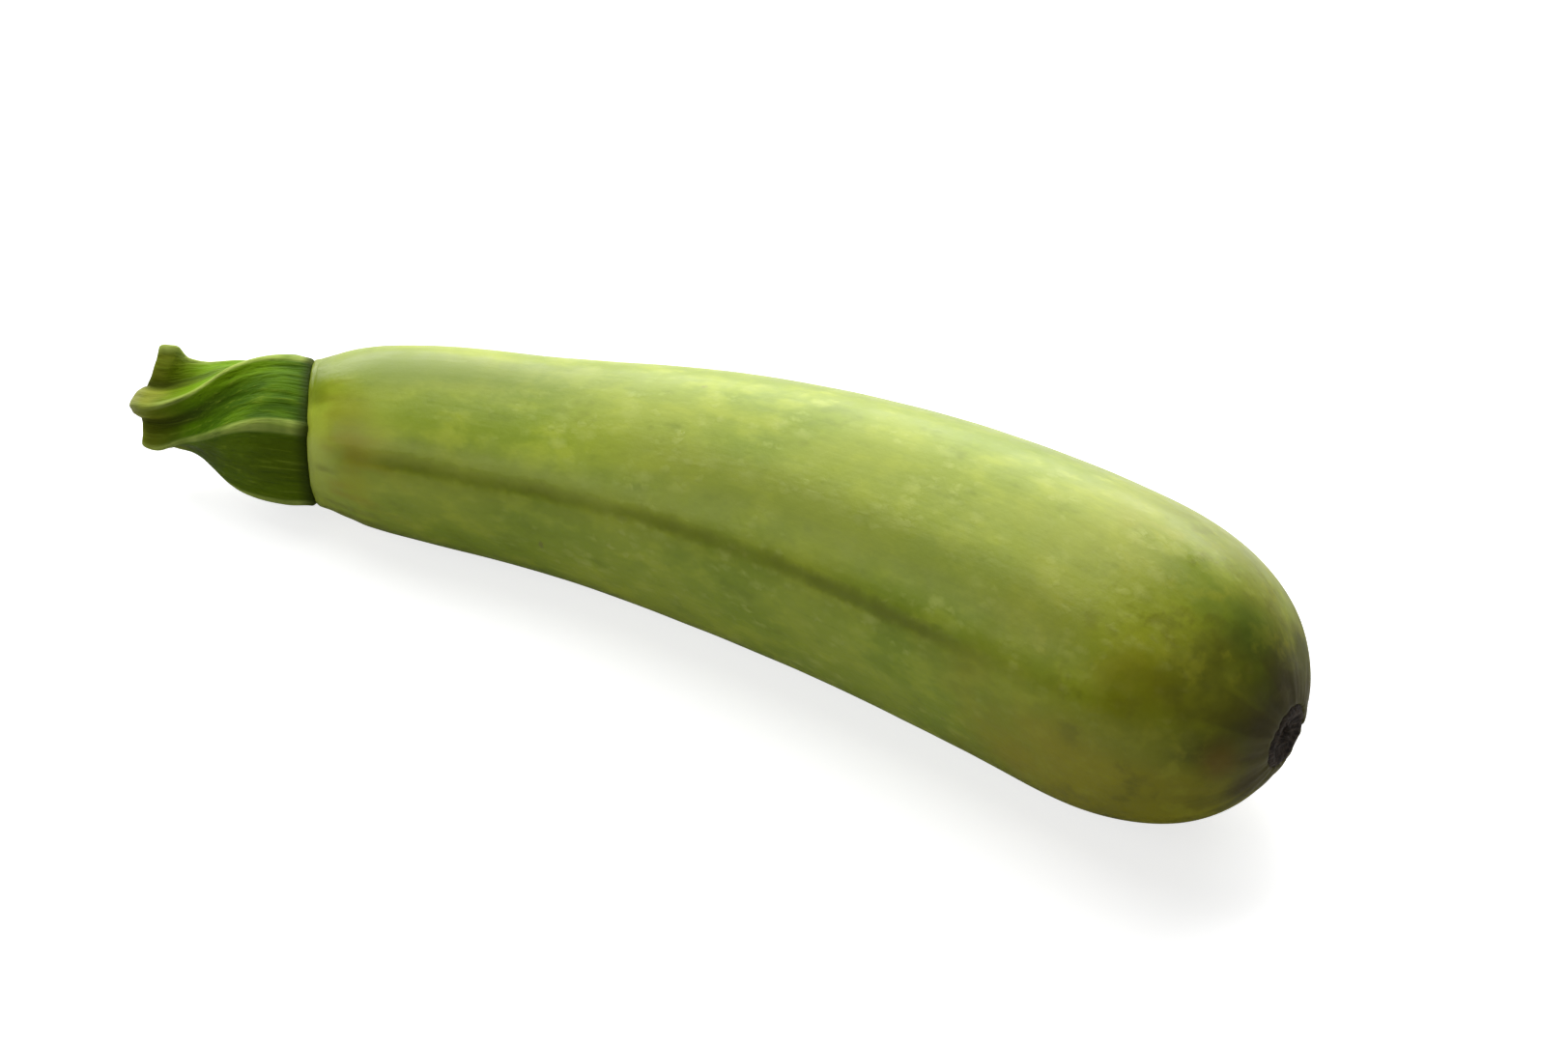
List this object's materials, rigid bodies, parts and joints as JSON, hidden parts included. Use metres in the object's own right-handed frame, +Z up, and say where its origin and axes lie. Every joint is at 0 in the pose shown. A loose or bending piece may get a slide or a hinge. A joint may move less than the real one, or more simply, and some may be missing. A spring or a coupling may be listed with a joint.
{
  "type": "courgette",
  "caption": "Pale green courgette as picked, gently bowed, with a twisted ribbed cut stalk at one end and a corky blossom scar at the other, lying on its side.",
  "frame": {"origin": "on the surface the courgette lies on, below the middle of its bounding box", "axes": "+Z up; +X along the fruit, from the stalk to the blossom end; the fruit bows towards +Y"},
  "size_m": [0.1942, 0.0504, 0.0472],
  "materials": {
    "skin": "waxy skin, satin gloss, pale flecks",
    "stalk": "fibrous ribbed stem, dull",
    "cork": "dry corky tissue, matt"
  },
  "bodies": {
    "root": {"fruit": "skin", "stalk": "stalk", "blossom_scar": "cork"}
  },
  "joints": []
}
